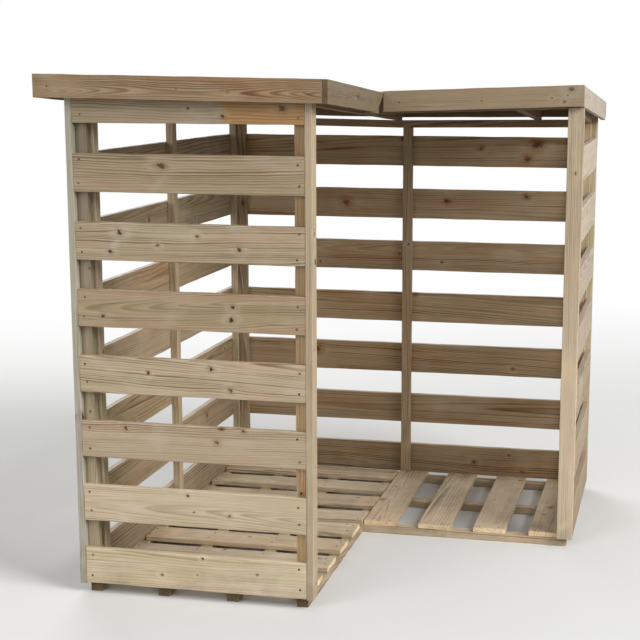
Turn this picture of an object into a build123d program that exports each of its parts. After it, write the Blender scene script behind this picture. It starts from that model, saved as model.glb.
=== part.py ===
"""Corner log store in pressure-treated softwood.

Two wings meet in an L: the left wing comes forward and ends in a slatted panel, the right wing runs
along the back and ends in a slatted panel of its own. More slats close the left side and the back.
Both wings are open to the inner corner of the L. Everything stands on bearers laid on the ground,
which carry the floor boards, and a sloping roof of boards with a fascia all round covers it. The
roof falls to the back and a little to the right, lifts again over the right wing, and its right end
runs outwards towards the back.
Millimetres, +Z up, the front faces -Y, the origin is on the ground under the middle of the roof.
"""
from build123d import *
import os

os.makedirs("parts", exist_ok=True)

# Body, over the outer faces of the slats and battens
body_width = 1206.0
body_depth = 1265.0
left_wing_width = 608.0
right_wing_depth = 628.0

# Slats
slat_height = 95.0
slat_thickness = 18.0
slat_gap = 74.0
slat_count = 8
lowest_slat = 28.0

# Uprights, and the battens that cover the outer corners and the edges of the openings
upright_width = 30.0
upright_thickness = 22.0
batten_width = 44.0
batten_thickness = 18.0
batten_bottom = 25.0

# Bearers on the ground
bearer_width = 31.0
bearer_height = 23.0
bearer_inset = 3.0
left_bearer_count = 4
right_bearer_count = 3

# Floor boards, laid between the uprights: the last of the right wing is ripped narrower to fit
floor_board_width = 95.0
floor_board_thickness = 14.0
boards_per_bay = 4
right_floor_count = 4
ripped_off = 11.5
floor_clearance = 2.0
floor_margin = 4.0
rear_bearer_seat = 12.0

# Roof: heights of its top surface, overhangs, fascia, boards, rafters and wall plate
roof_over_slats = 23.5
roof_fall = 79.0
cross_fall = 19.0
right_front_lift = 32.5
right_back_lift = 16.0
overhang_left = 81.5
overhang_right = 22.5
overhang_front = 40.0
overhang_back = 33.0
inner_overhang_side = 49.0
inner_overhang_front = 38.0
end_splay = 23.0
fascia_height = 57.0
back_fascia_height = 47.0
fascia_thickness = 13.0
deck_thickness = 14.0
deck_board_width = 95.0
deck_gap = 2.0
rafter_depth = 44.0
end_rafter_depth = 55.0
rafter_thickness = 22.0
rafter_setback = 2.0
extra_rafter_inset = 184.0
plate_height = 23.0
plate_width = 31.0
middle_upright_offset = 18.0
top_slat_drop = 6.0
seat_clearance = 0.2

# The slanted end of the fascia at the inner corner of the roof, and the block behind it
corner_gap = 1.0
corner_slant = 88.0
corner_block_length = 112.0
corner_block_height = 44.0

# Plan of the body and the roof, from the origin under the middle of the roof
roof_width = overhang_left + body_width + overhang_right
roof_depth = overhang_front + body_depth + overhang_back
roof_left, roof_right = -roof_width / 2, roof_width / 2
roof_front, roof_back = -roof_depth / 2, roof_depth / 2
left = roof_left + overhang_left
right = left + body_width
front = roof_front + overhang_front
back = front + body_depth

# Inner faces of the slats, and the frame's faces at the two open sides behind their battens
inside_left = left + slat_thickness
inside_right = right - slat_thickness
inside_front = front + slat_thickness
inside_back = back - slat_thickness
wing_edge_x = left + left_wing_width
wing_edge_y = back - right_wing_depth
open_x = wing_edge_x - batten_thickness
open_y = wing_edge_y + batten_thickness

# The uprights behind the slats of the left end leave the side slats this far back
side_front = inside_front + upright_thickness
back_right = inside_right - upright_thickness

slat_pitch = slat_height + slat_gap
slat_middles = [lowest_slat + slat_height / 2 + slat_pitch * i for i in range(slat_count)]
roof_high_edge = slat_middles[-1] + slat_height / 2 + roof_over_slats
middle_y = (front + back) / 2

# The middle rafter edges the left wing's opening, and the roof of the right wing starts on it
middle_rafter_x = (open_x - rafter_setback - rafter_thickness, open_x - rafter_setback)
roof_joint_x = sum(middle_rafter_x) / 2
fascia_edge_x = wing_edge_x + inner_overhang_side
fascia_edge_y = wing_edge_y - inner_overhang_front


def left_roof(x, y):
    """Top of the roof over the left wing: a plane that falls to the back and a little to the right."""
    back_share = (y - roof_front) / roof_depth
    side_share = (x - roof_left) / roof_width
    return roof_high_edge - roof_fall * back_share - cross_fall * side_share


def right_roof(x, y):
    """Top of the roof over the right wing, which is lifted more and more towards the right end."""
    along = (x - roof_joint_x) / (roof_right - roof_joint_x)
    depth = (y - fascia_edge_y) / (roof_back - fascia_edge_y)
    lift = right_front_lift + (right_back_lift - right_front_lift) * depth
    return left_roof(x, y) + lift * along


def right_edge(y):
    """The right end of the roof, which runs outwards towards the back."""
    return roof_right - end_splay * (roof_back - y) / (roof_back - fascia_edge_y)


def below(roof, drop):
    """The surface that lies a given drop under a roof surface."""
    return lambda x, y: roof(x, y) - drop


def level(height):
    """A level surface, for pieces that end square."""
    return lambda x, y: height


def sloped_board(x_span, y_span, bottom, top, slant=0.0):
    """Add a board between two x planes, its bottom and top following two surfaces.

    A slant cuts the board's far end back along the bottom.
    """
    near, far = y_span
    low_far = far - slant
    ends = []
    for x in x_span:
        with BuildSketch(Plane.YZ.offset(x)) as end:
            with BuildLine():
                low = [(near, bottom(x, near)), (low_far, bottom(x, low_far))]
                high = [(far, top(x, far)), (near, top(x, near))]
                Polyline(*low, *high, close=True)
            make_face()
        ends.append(end.sketch)
    loft(ends, ruled=True)


def splayed_board(x_ends, y_span, bottom, top):
    """Add a board between two y planes; its two ends lie where x_ends(y) says."""
    sides = []
    for y in y_span:
        start, stop = x_ends(y)
        with BuildSketch(Plane.XZ.offset(-y)) as side:
            with BuildLine():
                low = [(start, bottom(start, y)), (stop, bottom(stop, y))]
                high = [(stop, top(stop, y)), (start, top(start, y))]
                Polyline(*low, *high, close=True)
            make_face()
        sides.append(side.sketch)
    loft(sides, ruled=True)


def save(part, label):
    """Name a finished piece and write it to its own file."""
    part.label = label
    export_step(part, f"parts/{label}.step")


def spaced(first, last, width, count):
    """Centres of equal pieces of a width, the outer two flush with first and last."""
    step = (last - first - width) / (count - 1)
    return [first + width / 2 + step * i for i in range(count)]


# How far under the roof's top the rafters, the plate and the pieces below them begin
deck_underside = deck_thickness + seat_clearance
plate_top = deck_underside + rafter_depth + seat_clearance
plate_underside = plate_top + plate_height
end_rafter_underside = deck_underside + end_rafter_depth + seat_clearance

# Slatted panels: each row of slats is sketched on the panel's outer face and given its thickness, and
# the top slat of the left end is planed to the slope of the roof
with BuildPart() as left_end_slats:
    with BuildSketch(Plane.XZ.offset(-front)):
        with Locations(*[((left + open_x) / 2, z) for z in slat_middles[:-1]]):
            Rectangle(open_x - left, slat_height)
    extrude(amount=-slat_thickness)
    sloped_board(
        (left, open_x),
        (front, inside_front),
        level(slat_middles[-1] - slat_height / 2),
        below(left_roof, deck_underside + top_slat_drop),
    )
save(left_end_slats.part, "left_end_slats")

with BuildPart() as left_side_slats:
    with BuildSketch(Plane.YZ.offset(left)):
        with Locations(*[((side_front + back) / 2, z) for z in slat_middles[:-1]]):
            Rectangle(back - side_front, slat_height)
    extrude(amount=slat_thickness)
save(left_side_slats.part, "left_side_slats")

with BuildPart() as back_slats:
    with BuildSketch(Plane.XZ.offset(-inside_back)):
        with Locations(*[((inside_left + back_right) / 2, z) for z in slat_middles[:-1]]):
            Rectangle(back_right - inside_left, slat_height)
    extrude(amount=-slat_thickness)
save(back_slats.part, "back_slats")

with BuildPart() as right_end_slats:
    with BuildSketch(Plane.YZ.offset(inside_right)):
        with Locations(*[((open_y + back) / 2, z) for z in slat_middles[:-1]]):
            Rectangle(back - open_y, slat_height)
    extrude(amount=slat_thickness)
save(right_end_slats.part, "right_end_slats")

# Uprights stand on the bearers. They reach the roof boards, the plate or the end rafter: name, x span,
# y span, roof above, and how far under its top they end
side_upright_x = (inside_left, inside_left + upright_thickness)
back_upright_y = (inside_back - upright_thickness, inside_back)
end_upright_y = (inside_front, side_front)
right_upright_x = (back_right, inside_right)
middle_upright_left = roof_joint_x + middle_upright_offset
uprights = {
    "left_end_upright_left": (
        (left, left + upright_width),
        end_upright_y,
        left_roof,
        deck_underside,
    ),
    "left_end_upright_right": (
        (open_x - upright_width, open_x),
        end_upright_y,
        left_roof,
        deck_underside,
    ),
    "left_side_upright_front": (
        side_upright_x,
        (side_front, side_front + upright_width),
        left_roof,
        deck_underside,
    ),
    "left_side_upright_middle": (
        side_upright_x,
        (middle_y - upright_width / 2, middle_y + upright_width / 2),
        left_roof,
        deck_underside,
    ),
    "left_side_upright_back": (
        side_upright_x,
        (inside_back - upright_width, inside_back),
        left_roof,
        deck_underside,
    ),
    "back_upright_left": (
        (side_upright_x[1], side_upright_x[1] + upright_width),
        back_upright_y,
        left_roof,
        plate_underside,
    ),
    "back_upright_middle": (
        (middle_upright_left, middle_upright_left + upright_width),
        back_upright_y,
        right_roof,
        plate_underside,
    ),
    "back_upright_right": (
        (back_right - upright_width, back_right),
        back_upright_y,
        right_roof,
        plate_underside,
    ),
    "right_end_upright_front": (
        right_upright_x,
        (open_y, open_y + upright_width),
        right_roof,
        end_rafter_underside,
    ),
    "right_end_upright_back": (
        right_upright_x,
        (back - upright_width, back),
        right_roof,
        end_rafter_underside,
    ),
}
for name, (x_span, y_span, roof, drop) in uprights.items():
    with BuildPart() as upright:
        sloped_board(x_span, y_span, level(bearer_height), below(roof, drop))
    save(upright.part, name)

# Cover battens: two close the free corners, two stand beside the openings. The right opening's ends under
# the fascia that crosses it: x span, y span, roof above, and how far under its top they end
corner_batten_y = (back, back + batten_thickness)
front_batten_y = (front, front + batten_width)
right_batten_x = (right - batten_width, right)
battens = {
    "left_corner_batten": ((left - batten_thickness, left), front_batten_y, left_roof, deck_underside),
    "left_opening_batten": ((open_x, wing_edge_x), front_batten_y, left_roof, deck_underside),
    "right_opening_batten": (
        right_batten_x,
        (wing_edge_y, open_y),
        right_roof,
        fascia_height + seat_clearance,
    ),
    "right_corner_batten": (right_batten_x, corner_batten_y, right_roof, deck_underside),
}
for name, (x_span, y_span, roof, drop) in battens.items():
    with BuildPart() as batten:
        sloped_board(x_span, y_span, level(batten_bottom), below(roof, drop))
    save(batten.part, name)

# Bearers: the left wing's run from front to back, the right wing's run across and butt against them
left_bearers_x = spaced(left + bearer_inset, open_x, bearer_width, left_bearer_count)
right_bearers_y = spaced(open_y, back_upright_y[0] + rear_bearer_seat, bearer_width, right_bearer_count)
for number, x in enumerate(left_bearers_x, start=1):
    with BuildPart() as bearer:
        with BuildSketch(Plane.XY):
            with Locations((x, (inside_front + inside_back) / 2)):
                Rectangle(bearer_width, inside_back - inside_front)
        extrude(amount=bearer_height)
    save(bearer.part, f"left_floor_bearer_{number}")

for number, y in enumerate(right_bearers_y, start=1):
    with BuildPart() as bearer:
        with BuildSketch(Plane.XY):
            with Locations(((open_x + inside_right) / 2, y)):
                Rectangle(inside_right - open_x, bearer_width)
        extrude(amount=bearer_height)
    save(bearer.part, f"right_floor_bearer_{number}")


# Floor boards lie across the bearers, so they turn with the wing
side_bays = (
    (side_front + upright_width, middle_y - upright_width / 2),
    (middle_y + upright_width / 2, inside_back - upright_width),
)
left_floor_x = (inside_left + floor_margin, open_x)
with BuildPart() as left_floor_boards:
    with BuildSketch(Plane.XY.offset(bearer_height)):
        for start, end in side_bays:
            rows = spaced(start + floor_clearance, end - floor_clearance, floor_board_width, boards_per_bay)
            with Locations(*[(sum(left_floor_x) / 2, y) for y in rows]):
                Rectangle(left_floor_x[1] - left_floor_x[0], floor_board_width)
    extrude(amount=floor_board_thickness)
save(left_floor_boards.part, "left_floor_boards")

right_floor_x = (open_x + floor_margin, back_right - floor_clearance)
right_floor_y = (open_y, back_upright_y[0] - floor_clearance)
widths = [floor_board_width] * (right_floor_count - 1) + [floor_board_width - ripped_off]
right_floor_gap = (right_floor_x[1] - right_floor_x[0] - sum(widths)) / (right_floor_count - 1)
with BuildPart() as right_floor_boards:
    with BuildSketch(Plane.XY.offset(bearer_height)):
        for i, width in enumerate(widths):
            start = right_floor_x[0] + sum(widths[:i]) + right_floor_gap * i
            with Locations((start + width / 2, sum(right_floor_y) / 2)):
                Rectangle(width, right_floor_y[1] - right_floor_y[0])
    extrude(amount=floor_board_thickness)
save(right_floor_boards.part, "right_floor_boards")

# Rafters run down the slope onto the plate that lies on the back uprights, the end rafter lies on the
# right end's uprights, and a header carries the front edge of the right wing's roof
left_rafter_x = (side_upright_x[1], side_upright_x[1] + rafter_thickness)
extra_middle = right - extra_rafter_inset
extra_rafter_x = (extra_middle - rafter_thickness / 2, extra_middle + rafter_thickness / 2)
header_y = (open_y, open_y + rafter_thickness)
rafters = {
    "left_rafter": (left_rafter_x, (side_front, inside_back), left_roof, rafter_depth),
    "middle_rafter": (middle_rafter_x, (side_front, inside_back), left_roof, rafter_depth),
    "extra_rafter": (extra_rafter_x, (header_y[1], inside_back), right_roof, rafter_depth),
    "right_rafter": (right_upright_x, (open_y, back), right_roof, end_rafter_depth),
    "front_header": ((middle_rafter_x[1], back_right), header_y, right_roof, rafter_depth),
}
for name, (x_span, y_span, roof, depth) in rafters.items():
    with BuildPart() as rafter:
        sloped_board(x_span, y_span, below(roof, deck_underside + depth), below(roof, deck_underside))
    save(rafter.part, name)

plate_y = (inside_back - plate_width, inside_back)
plates = {
    "back_plate_left": ((side_upright_x[1], middle_rafter_x[1]), left_roof),
    "back_plate_right": ((middle_rafter_x[1], back_right), right_roof),
}
for name, (x_span, roof) in plates.items():
    with BuildPart() as plate:
        sloped_board(x_span, plate_y, below(roof, plate_underside), below(roof, plate_top))
    save(plate.part, name)


def between(start, stop):
    """Ends of a board that is cut square."""
    return lambda y: (start, stop)


def roof_boards(label, x_ends, y_span, roof):
    """Lay boards side by side down the slope: the count is what the depth takes, the width is shared."""
    count = max(1, round((y_span[1] - y_span[0] + deck_gap) / (deck_board_width + deck_gap)))
    pitch = (y_span[1] - y_span[0] + deck_gap) / count
    with BuildPart() as boards:
        for i in range(count):
            board_y = (y_span[0] + pitch * i, y_span[0] + pitch * (i + 1) - deck_gap)
            splayed_board(x_ends, board_y, below(roof, deck_thickness), roof)
    save(boards.part, label)


# Roof boards run across, inside the fascia
deck_left = roof_left + fascia_thickness
deck_front = roof_front + fascia_thickness
deck_back = roof_back - fascia_thickness
wing_roof_y = fascia_edge_y + fascia_thickness
wing_deck_right = fascia_edge_x - fascia_thickness
wing_ends = between(deck_left, wing_deck_right)
corner_ends = between(deck_left, roof_joint_x - deck_gap / 2)
roof_boards("left_wing_roof_boards", wing_ends, (deck_front, wing_roof_y - deck_gap), left_roof)
roof_boards("back_corner_roof_boards", corner_ends, (wing_roof_y, deck_back), left_roof)


def right_deck_ends(y):
    """Ends of the right wing's roof boards, from the joint to the end fascia."""
    return roof_joint_x + deck_gap / 2, right_edge(y) - fascia_thickness


roof_boards("right_wing_roof_boards", right_deck_ends, (wing_roof_y, deck_back), right_roof)

# Fascia boards follow the slope all round, covering the ends of the boards
def front_ends(y):
    """Ends of the right wing's front fascia, from the inner corner to the roof's right end."""
    return fascia_edge_x + corner_gap, right_edge(y)


def end_sides(y):
    """The two faces of the right end's fascia."""
    return right_edge(y) - fascia_thickness, right_edge(y)


def back_ends(y):
    """Ends of the right part of the back fascia."""
    return roof_joint_x, right_edge(y)


fascias = {
    "left_wing_front_fascia": (
        between(roof_left, wing_deck_right),
        (roof_front, deck_front),
        left_roof,
        fascia_height,
    ),
    "left_side_fascia": (between(roof_left, deck_left), (deck_front, roof_back), left_roof, fascia_height),
    "back_fascia_left": (
        between(deck_left, roof_joint_x),
        (deck_back, roof_back),
        left_roof,
        back_fascia_height,
    ),
    "back_fascia_right": (back_ends, (deck_back, roof_back), right_roof, back_fascia_height),
    "right_end_fascia": (end_sides, (wing_roof_y, deck_back), right_roof, fascia_height),
    "right_wing_front_fascia": (front_ends, (fascia_edge_y, wing_roof_y), right_roof, fascia_height),
}
for name, (x_ends, y_span, roof, height) in fascias.items():
    with BuildPart() as fascia:
        splayed_board(x_ends, y_span, below(roof, height), roof)
    save(fascia.part, name)

# The fascia beside the left wing's opening is cut on a long slant where it meets the right wing's
with BuildPart() as left_wing_inner_fascia:
    sloped_board(
        (wing_deck_right, fascia_edge_x),
        (roof_front, wing_roof_y),
        below(left_roof, fascia_height),
        left_roof,
        slant=corner_slant,
    )
save(left_wing_inner_fascia.part, "left_wing_inner_fascia")

# A block behind that slant ties the fascia to the roof boards
with BuildPart() as corner_block:
    block_x = (wing_deck_right - rafter_thickness, wing_deck_right)
    block_y = (wing_roof_y - corner_block_length, wing_roof_y)
    sloped_board(
        block_x,
        block_y,
        below(left_roof, deck_underside + corner_block_height),
        below(left_roof, deck_underside),
    )
save(corner_block.part, "corner_block")
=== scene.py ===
import math
import zlib

import bpy
import numpy as np
from mathutils import Matrix, Vector


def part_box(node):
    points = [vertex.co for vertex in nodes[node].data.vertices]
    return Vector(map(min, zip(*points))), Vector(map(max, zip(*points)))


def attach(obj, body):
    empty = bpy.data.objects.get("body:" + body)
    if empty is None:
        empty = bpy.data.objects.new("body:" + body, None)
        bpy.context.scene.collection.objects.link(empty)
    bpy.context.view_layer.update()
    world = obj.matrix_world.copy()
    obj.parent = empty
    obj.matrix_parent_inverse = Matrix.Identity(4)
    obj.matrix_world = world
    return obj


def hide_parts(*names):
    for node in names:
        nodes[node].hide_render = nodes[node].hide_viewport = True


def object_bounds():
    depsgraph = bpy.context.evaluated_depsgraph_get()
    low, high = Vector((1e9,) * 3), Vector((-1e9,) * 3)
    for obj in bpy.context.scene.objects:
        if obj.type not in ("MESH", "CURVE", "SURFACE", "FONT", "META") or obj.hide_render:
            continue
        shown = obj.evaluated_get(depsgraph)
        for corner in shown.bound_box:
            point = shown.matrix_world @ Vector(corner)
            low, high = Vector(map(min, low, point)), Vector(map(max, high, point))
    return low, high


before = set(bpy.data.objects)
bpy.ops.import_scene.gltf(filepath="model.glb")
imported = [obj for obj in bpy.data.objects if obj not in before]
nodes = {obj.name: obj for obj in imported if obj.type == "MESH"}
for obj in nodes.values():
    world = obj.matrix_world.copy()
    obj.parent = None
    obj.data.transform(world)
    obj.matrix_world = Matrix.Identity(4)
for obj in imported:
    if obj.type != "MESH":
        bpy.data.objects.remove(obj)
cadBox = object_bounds()
scene = bpy.context.scene
print("frame loaded:", len(nodes), "CAD nodes")


# shader maths

def seen(red, green, blue):
    # a colour as the eye reads it, 0 to 255, turned into linear light by the usual screen curve
    value = np.array([red, green, blue]) / 255
    low = value <= 0.04045
    linear = np.where(low, value / 12.92, ((value + 0.055) / 1.055) ** 2.4)
    return (*linear.tolist(), 1.0)


class Value:
    # one socket of a shader graph; sums and products of values add the Math nodes that work them out
    def __init__(self, graph, socket):
        self.graph = graph
        self.socket = socket

    def math(self, operation, *others):
        return self.graph.math(operation, self, *others)

    def vector(self, operation, other):
        second = "Scale" if operation == "SCALE" else 1
        return self.graph.node("ShaderNodeVectorMath", {"operation": operation}, {0: self, second: other})

    def smooth(self, low, high):
        # an S-shaped step from 0 to 1 as the value goes from low to high
        ends = {"Value": self, "From Min": low, "From Max": high}
        return self.graph.node("ShaderNodeMapRange", {"interpolation_type": "SMOOTHSTEP"}, ends)

    def step(self, name):
        return self.smooth(*steps[name])

    def ranged(self, name):
        # the least, and more with the value
        least, more = ranges[name]
        return self * more + least

    def __add__(self, other):
        return self.math("ADD", other)

    def __sub__(self, other):
        return self.math("SUBTRACT", other)

    def __rsub__(self, other):
        return self.graph.math("SUBTRACT", other, self)

    def __mul__(self, other):
        return self.math("MULTIPLY", other)

    def __truediv__(self, other):
        return self.math("DIVIDE", other)

    __radd__ = __add__
    __rmul__ = __mul__


class Graph:
    # the node tree of a material or of the world, with one method that adds any node
    def __init__(self, owner):
        owner.use_nodes = True
        self.tree = owner.node_tree
        self.tree.nodes.clear()

    def node(self, kind, settings=None, sockets=None, out=0):
        made = self.tree.nodes.new(kind)
        for key, value in (settings or {}).items():
            setattr(made, key, value)
        for key, value in (sockets or {}).items():
            if isinstance(value, Value):
                self.tree.links.new(value.socket, made.inputs[key])
            else:
                made.inputs[key].default_value = value
        return Value(self, made.outputs[out]) if len(made.outputs) else None

    def math(self, operation, *terms):
        return self.node("ShaderNodeMath", {"operation": operation}, dict(enumerate(terms)))

    def read(self, name, out="Vector"):
        return self.node("ShaderNodeAttribute", {"attribute_name": name}, out=out)

    def parts(self, value):
        # the three numbers of a vector
        first = self.node("ShaderNodeSeparateXYZ", {}, {0: value})
        return [Value(self, socket) for socket in first.socket.node.outputs]

    def joined(self, *numbers):
        # a vector out of two or three numbers
        return self.node("ShaderNodeCombineXYZ", {}, dict(enumerate(numbers)))

    def noise(self, place, scale=1.0, detail=1.0, rough=0.5, out="Fac"):
        sockets = {"Vector": place, "Scale": scale, "Detail": detail, "Roughness": rough}
        return self.node("ShaderNodeTexNoise", {}, sockets, out)

    def pattern(self, name, place, out="Fac"):
        # noise at the place scaled by its own amount each way, so that it comes out longer than it is wide
        stretch, detail, rough = patterns[name]
        return self.noise(place.vector("MULTIPLY", stretch), 1.0, detail, rough, out)

    def mix(self, share, first, second, blend="MIX"):
        settings = {"data_type": "RGBA", "blend_type": blend}
        return self.node("ShaderNodeMix", settings, {0: share, 6: first, 7: second}, out=2)

    def bumped(self, strength, distance, height):
        sockets = {"Strength": strength, "Distance": distance, "Height": height}
        return self.node("ShaderNodeBump", {}, sockets, "Normal")

    def surface(self, shader):
        self.node("ShaderNodeOutputMaterial", {}, {"Surface": shader})


# wood

knotCount = 5  # the knots that a board has room for

patterns = {  # how often each noise repeats in a metre along, across and deep, then its detail and roughness
    "rough": ((110, 300, 300), 2.0, 0.5), "chewed": ((300, 520, 520), 2.0, 0.6),
    "warp": ((130, 130, 130), 1.0, 0.5), "cloud": ((9, 9, 9), 3.0, 0.55),
    "wander": ((2.0, 7.0, 7.0), 1.0, 0.5), "waver": ((13.0, 40.0, 40.0), 1.0, 0.5),
    "bands": ((1.1, 52.0, 52.0), 1.0, 0.5), "streak": ((4.0, 170.0, 170.0), 3.0, 0.6),
    "fibre": ((34.0, 1100.0, 1100.0), 2.0, 0.6), "fleck": ((15.0, 560.0, 560.0), 1.0, 0.5),
    "hair": ((8.0, 430.0, 430.0), 2.0, 0.55), "stain": ((3.2, 22.0, 22.0), 3.0, 0.6),
    "sheen": ((7.0, 9.0, 9.0), 2.0, 0.5), "knotTone": ((9.0, 9.0, 0.0), 0.0, 0.5),
    "worn": ((26.0, 90.0, 90.0), 2.0, 0.5), "grime": ((14, 14, 14), 3.0, 0.6),
}
steps = {  # where each mask starts and where it is full
    "lateRise": (0.22, 0.84), "lateFall": (0.90, 1.00),  # parts of one year
    "bands": (0.34, 0.68), "fleck": (0.66, 0.76), "hair": (0.54, 0.70), "sheen": (0.52, 0.72),
    "green": (0.44, 0.60), "peach": (0.36, 0.50), "flareStain": (0.42, 0.60), "knotTone": (0.40, 0.60),
    "inKnot": (0.60, 1.00), "rimRise": (0.50, 0.80), "rimFall": (0.90, 1.50), "core": (0.05, 0.45),  # knot sizes
    "halo": (0.8, 4.2), "knotFlare": (1.5, 7.0), "knotRings": (0.35, 0.90), "splash": (0.1, 1.4),
    "crack": (0.5, 1.0), "rays": (0.69, 0.73), "grime": (0.34, 0.72),
    "patch": (0.0, 0.012), "grimeHeight": (0.0, 0.16), "paintedFootLightHeight": (0.0, 1.25),  # metres
    "metal": (0.35, 0.65), "nailLot": (0.35, 0.65), "speckle": (0.50, 0.75),
}
ranges = {  # the least of a factor, and how much a full pattern adds to it
    "years": (0.30, 0.75), "bands": (0.45, 0.85), "hair": (0.4, 0.8),  # some years and bands show more than others
    "peach": (0.25, 1.0), "honey": (0.4, 1.0), "streaks": (0.5, 1.0), "chewed": (0.30, 0.95),
}


def weighted(shares, masks, start=0.0):
    # the start, plus each mask times its own share
    return sum((masks[key] * share for key, share in shares.items()), start)


def woodMaterial(name, look):
    # Year rings are shells round a pith line that runs beside the board, so every face cuts them as it would in
    # the real board. Near a knot the distance across the grain shrinks as the lines of a stream do round a post:
    # across = v - sum of (v - knot) * r^2 / distance^2.
    material = bpy.data.materials.new(name)
    g = Graph(material)
    place = g.read("grainPlace")
    spot = place.vector("ADD", g.read("grainSeed"))
    u, v, w = g.parts(place)
    pithAcross, pithDeep, drift = g.parts(g.read("grainPith"))
    spacing, ringForce, taper = g.parts(g.read("grainRings"))
    light, warm, green = g.parts(g.read("grainTone"))
    patchStart, slant, patchForce = g.parts(g.read("grainPatch"))
    checkMiddle, checkReach, checkPlace = g.parts(g.read("grainCheck"))
    # the third value of the bend field is painted light that brightens the foot of a board
    bendMiddle, bend, paintedFootLight = g.parts(g.read("grainBend"))
    flareU, flareV, flareForce = g.parts(g.read("grainFlare"))
    isEnd = g.read("grainEnd", "Fac")
    isEdge = g.read("grainEdge", "Fac")

    rough = g.pattern("rough", spot)
    warpU, warpV = g.parts(g.pattern("warp", spot, "Color"))[:2]
    shift = None
    closest = None
    for number in range(knotCount):
        knotU, knotV, size = g.parts(g.read(f"knot{number}"))
        du = u - knotU
        dv = v - knotV
        reach = size * size
        stream = (du * look["knotFlow"]).math("POWER", 2.0) + dv * dv
        push = dv * (reach / stream.math("MAXIMUM", reach))
        uneven = dv + (warpV - 0.5) * size * look["knotWarpAcross"]
        leaned = (du + (warpU - 0.5) * size * look["knotWarpAlong"]) * look["knotStretch"]
        leaned = leaned + dv * slant * look["knotLean"]
        oval = (leaned * leaned + uneven * uneven).math("SQRT") / size
        shift = push if shift is None else shift + push
        closest = oval if closest is None else closest.math("MINIMUM", oval)

    wander = g.pattern("wander", spot) - 0.5
    waver = g.pattern("waver", spot) - 0.5
    across = v - shift + wander * look["wander"] + waver * look["waver"]
    off = (across - pithAcross - drift * u) * look["pinch"]
    bent = (u - bendMiddle) * (u - bendMiddle) * bend
    deep = w - pithDeep - taper * u - bent
    radius = (off * off + deep * deep).math("SQRT")
    count = radius / spacing
    jump = g.noise(g.joined(count * look["jumpPitch"], light, warm), 1.0, 0.0) - 0.5
    year = count + jump * look["jumpSize"]
    part = year.math("FRACT")
    key = g.joined(year.math("FLOOR"), light)
    luck = g.node("ShaderNodeTexWhiteNoise", {"noise_dimensions": "2D"}, {"Vector": key}, "Value")
    bands = g.pattern("bands", spot).step("bands")
    lateWood = part.step("lateRise") * (1.0 - part.step("lateFall")) * luck.ranged("years") * bands.ranged("bands")

    streak = g.pattern("streak", spot)
    fibre = g.pattern("fibre", spot)
    fleck = g.pattern("fleck", spot).step("fleck")
    hair = g.pattern("hair", spot).step("hair") * bands.ranged("hair")
    cloud = g.pattern("cloud", spot)
    stain = g.pattern("stain", spot)
    sheen = g.pattern("sheen", spot).step("sheen")

    colour = g.mix((ringForce * lateWood).math("MINIMUM", 1.0), look["pale"], look["late"])
    # painted sheen: pale cream patches that stand in for glints of light on the wood
    colour = g.mix(sheen * look["sheen"], colour, look["cream"])
    colour = g.mix(stain.step("green") * green, colour, look["green"], "MULTIPLY")
    colour = g.mix((1.0 - stain.step("peach")) * warm.ranged("peach"), colour, look["peach"], "MULTIPLY")
    colour = g.mix(warm * cloud.ranged("honey"), colour, look["honey"], "MULTIPLY")
    patch = (u - patchStart).step("patch") * patchForce
    colour = g.mix(patch, colour, look["amber"], "MULTIPLY")

    knotTone = g.pattern("knotTone", spot)
    chewed = g.pattern("chewed", spot)
    ragged = closest * (chewed.ranged("chewed") + rough * look["frayed"])
    inKnot = 1.0 - ragged.step("inKnot")
    rim = ragged.step("rimRise") * (1.0 - ragged.step("rimFall"))
    core = 1.0 - ragged.step("core")
    halo = 1.0 - closest.step("halo")
    flare = (1.0 - closest.step("knotFlare")) * stain.step("flareStain")
    leaning = (u - flareU) - (v - flareV) * look["flareLean"]
    splash = leaning * leaning * look["flareSquash"] + (v - flareV) * (v - flareV)
    splash = splash.math("SQRT") / look["flareReach"] * streak.ranged("streaks")
    flare = flare.math("MAXIMUM", (1.0 - splash.step("splash")) * flareForce)
    colour = g.mix(flare * look["flare"], colour, look["cream"])
    rings = (ragged * look["knotRings"] + rough).math("FRACT").step("knotRings")
    colour = g.mix(halo * look["halo"] * streak.ranged("streaks"), colour, look["haloColour"], "MULTIPLY")
    heart = g.mix(knotTone.step("knotTone"), look["knot"], look["darkKnot"])
    heart = g.mix(rings * look["knotRingForce"], heart, look["darkKnot"])
    heart = g.mix(core * look["coreForce"], heart, look["darkKnot"])
    colour = g.mix(inKnot * look["knotForce"], colour, heart)
    colour = g.mix(rim * look["rimForce"] * look["knotForce"], colour, look["darkKnot"])

    along = (u - checkMiddle) / checkReach
    width = (1.0 - along * along).math("MAXIMUM", 0.0) * look["crackWidth"]
    gap = (across + rough * look["crackFray"] - checkPlace).math("ABSOLUTE")
    shown = (width * look["crackShown"]).math("MINIMUM", 1.0)
    crack = (1.0 - (gap / (width + look["tiny"])).step("crack")) * shown
    turn = off.math("ARCTAN2", deep)
    rays = g.noise(g.joined(turn * look["raysRound"], radius * look["raysOut"], light), 1.0, 1.0)
    crack = crack.math("MAXIMUM", rays.step("rays") * isEnd * look["raysForce"])

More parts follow.
